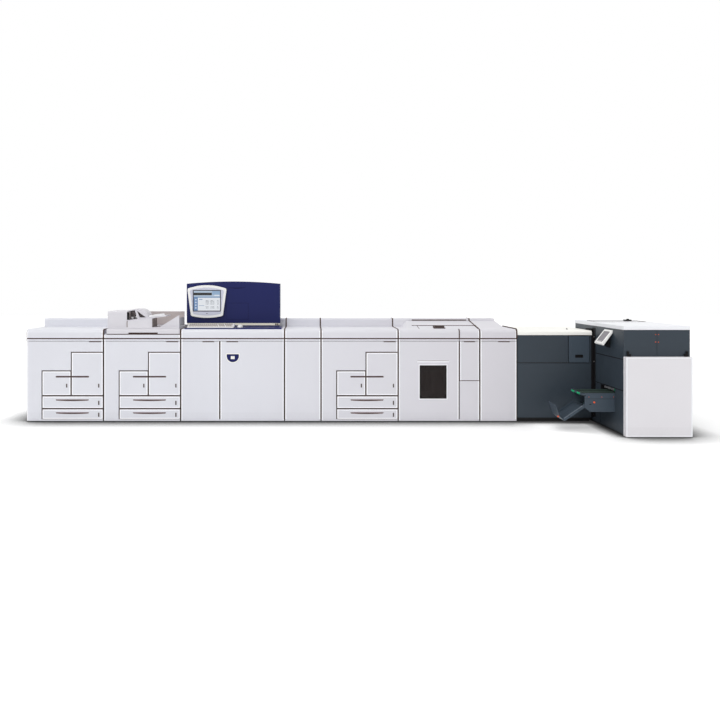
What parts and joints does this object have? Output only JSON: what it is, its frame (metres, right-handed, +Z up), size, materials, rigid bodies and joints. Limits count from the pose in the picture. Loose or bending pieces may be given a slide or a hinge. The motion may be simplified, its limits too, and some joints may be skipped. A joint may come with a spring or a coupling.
{
  "type": "digital production printer line",
  "caption": "Sheet-fed production printing line: docked paper feeders with drawers, engine with console, stacker, and a slate booklet maker with delivery belts.",
  "frame": {"origin": "middle of the line's footprint, on the floor", "axes": "+X along the line from the first paper feeder to the booklet maker, +Y to the back, +Z up"},
  "size_m": [6.786, 1.712, 1.5199],
  "materials": {
    "pale_panel": "fine-textured paint",
    "black_plinth": "matt",
    "navy_housing": "satin",
    "white_bezel": "satin",
    "cream_plastic": "satin",
    "scanner_plastic": "fine-grained",
    "smoked_window": "smoked",
    "cream_cover": "satin",
    "white_cover": "satin",
    "slate_steel": "fine-textured paint",
    "grained_white": "fine-grained paint",
    "green_belt": "matt"
  },
  "bodies": {
    "line": {"plinths": "black_plinth", "feeder_a_cabinet": "pale_panel", "feeder_b_cabinet": "pale_panel", "feeder_c_cabinet": "pale_panel", "scanner_base": "scanner_plastic", "engine_cabinet": "pale_panel", "worktop": "navy_housing", "console_tower": "navy_housing", "console_screen": "white_bezel", "keyboard_and_mouse": "cream_plastic", "bridge_cabinet": "pale_panel", "stacker_cabinet": "pale_panel", "exit_cabinet": "pale_panel", "infeed_cabinet": "slate_steel", "infeed_cover": "cream_cover", "booklet_cabinet": "slate_steel", "booklet_cover": "white_cover", "front_box": "grained_white", "control_panel": "white_bezel", "conveyor_frame": "slate_steel", "conveyor_belts": "green_belt", "catch_tray": "slate_steel"},
    "feeder_a_door": {"feeder_a_door": "pale_panel"},
    "feeder_a_tall_drawer": {"feeder_a_tall_drawer": "pale_panel"},
    "feeder_a_left_drawer": {"feeder_a_left_drawer": "pale_panel"},
    "feeder_a_middle_drawer": {"feeder_a_middle_drawer": "pale_panel"},
    "feeder_a_bottom_drawer": {"feeder_a_bottom_drawer": "pale_panel"},
    "feeder_b_door": {"feeder_b_door": "pale_panel"},
    "feeder_b_tall_drawer": {"feeder_b_tall_drawer": "pale_panel"},
    "feeder_b_left_drawer": {"feeder_b_left_drawer": "pale_panel"},
    "feeder_b_middle_drawer": {"feeder_b_middle_drawer": "pale_panel"},
    "feeder_b_bottom_drawer": {"feeder_b_bottom_drawer": "pale_panel"},
    "feeder_c_door": {"feeder_c_door": "pale_panel"},
    "feeder_c_tall_drawer": {"feeder_c_tall_drawer": "pale_panel"},
    "feeder_c_left_drawer": {"feeder_c_left_drawer": "pale_panel"},
    "feeder_c_middle_drawer": {"feeder_c_middle_drawer": "pale_panel"},
    "feeder_c_bottom_drawer": {"feeder_c_bottom_drawer": "pale_panel"},
    "document_feeder": {"document_feeder": "scanner_plastic"},
    "engine_left_door": {"engine_left_door": "pale_panel"},
    "engine_right_door": {"engine_right_door": "pale_panel"},
    "stacker_door": {"stacker_door": "pale_panel", "stacker_window": "smoked_window"},
    "bay_door": {"bay_door": "pale_panel"},
    "stacker_lid": {"stacker_lid": "pale_panel"},
    "exit_door": {"exit_door": "pale_panel"},
    "infeed_flap": {"infeed_flap": "slate_steel"}
  },
  "joints": [
    {"name": "feeder_a_door_hinge", "type": "hinge", "parent": "line", "child": "feeder_a_door", "pos_m": [-3.378, 0.077, 0.4345], "axis": [0, 0, -1], "range_deg": [0, 90]},
    {"name": "feeder_a_tall_slide", "type": "slide", "parent": "line", "child": "feeder_a_tall_drawer", "axis": [0, -1, 0], "range_m": [0, 0.5]},
    {"name": "feeder_a_left_slide", "type": "slide", "parent": "line", "child": "feeder_a_left_drawer", "axis": [0, -1, 0], "range_m": [0, 0.5]},
    {"name": "feeder_a_middle_slide", "type": "slide", "parent": "line", "child": "feeder_a_middle_drawer", "axis": [0, -1, 0], "range_m": [0, 0.5]},
    {"name": "feeder_a_bottom_slide", "type": "slide", "parent": "line", "child": "feeder_a_bottom_drawer", "axis": [0, -1, 0], "range_m": [0, 0.5]},
    {"name": "feeder_b_door_hinge", "type": "hinge", "parent": "line", "child": "feeder_b_door", "pos_m": [-2.543, 0.077, 0.4345], "axis": [0, 0, -1], "range_deg": [0, 90]},
    {"name": "feeder_b_tall_slide", "type": "slide", "parent": "line", "child": "feeder_b_tall_drawer", "axis": [0, -1, 0], "range_m": [0, 0.5]},
    {"name": "feeder_b_left_slide", "type": "slide", "parent": "line", "child": "feeder_b_left_drawer", "axis": [0, -1, 0], "range_m": [0, 0.5]},
    {"name": "feeder_b_middle_slide", "type": "slide", "parent": "line", "child": "feeder_b_middle_drawer", "axis": [0, -1, 0], "range_m": [0, 0.5]},
    {"name": "feeder_b_bottom_slide", "type": "slide", "parent": "line", "child": "feeder_b_bottom_drawer", "axis": [0, -1, 0], "range_m": [0, 0.5]},
    {"name": "feeder_c_door_hinge", "type": "hinge", "parent": "line", "child": "feeder_c_door", "pos_m": [-0.188, 0.077, 0.4345], "axis": [0, 0, -1], "range_deg": [0, 90]},
    {"name": "feeder_c_tall_slide", "type": "slide", "parent": "line", "child": "feeder_c_tall_drawer", "axis": [0, -1, 0], "range_m": [0, 0.5]},
    {"name": "feeder_c_left_slide", "type": "slide", "parent": "line", "child": "feeder_c_left_drawer", "axis": [0, -1, 0], "range_m": [0, 0.5]},
    {"name": "feeder_c_middle_slide", "type": "slide", "parent": "line", "child": "feeder_c_middle_drawer", "axis": [0, -1, 0], "range_m": [0, 0.5]},
    {"name": "feeder_c_bottom_slide", "type": "slide", "parent": "line", "child": "feeder_c_bottom_drawer", "axis": [0, -1, 0], "range_m": [0, 0.5]},
    {"name": "document_feeder_hinge", "type": "hinge", "parent": "line", "child": "document_feeder", "pos_m": [-2.1405, 0.688, 1.0153], "axis": [-1, 0, 0], "range_deg": [0, 60]},
    {"name": "engine_left_door_hinge", "type": "hinge", "parent": "line", "child": "engine_left_door", "pos_m": [-1.708, 0.077, 0.4345], "axis": [0, 0, -1], "range_deg": [0, 90]},
    {"name": "engine_right_door_hinge", "type": "hinge", "parent": "line", "child": "engine_right_door", "pos_m": [-0.613, 0.077, 0.4345], "axis": [0, 0, 1], "range_deg": [0, 90]},
    {"name": "stacker_door_hinge", "type": "hinge", "parent": "line", "child": "stacker_door", "pos_m": [0.647, 0.077, 0.4345], "axis": [0, 0, -1], "range_deg": [0, 90]},
    {"name": "bay_door_hinge", "type": "hinge", "parent": "line", "child": "bay_door", "pos_m": [1.501, 0.077, 0.6565], "axis": [0, 0, 1], "range_deg": [0, 90]},
    {"name": "stacker_lid_hinge", "type": "hinge", "parent": "line", "child": "stacker_lid", "pos_m": [1.172, 0.32, 1.0168], "axis": [-1, 0, 0], "range_deg": [0, 75]},
    {"name": "exit_door_hinge", "type": "hinge", "parent": "line", "child": "exit_door", "pos_m": [1.531, 0.077, 0.4345], "axis": [0, 0, -1], "range_deg": [0, 90]},
    {"name": "infeed_flap_hinge", "type": "hinge", "parent": "line", "child": "infeed_flap", "pos_m": [2.591, 0.077, 0.917], "axis": [-1, 0, 0], "range_deg": [0, 90]}
  ]
}
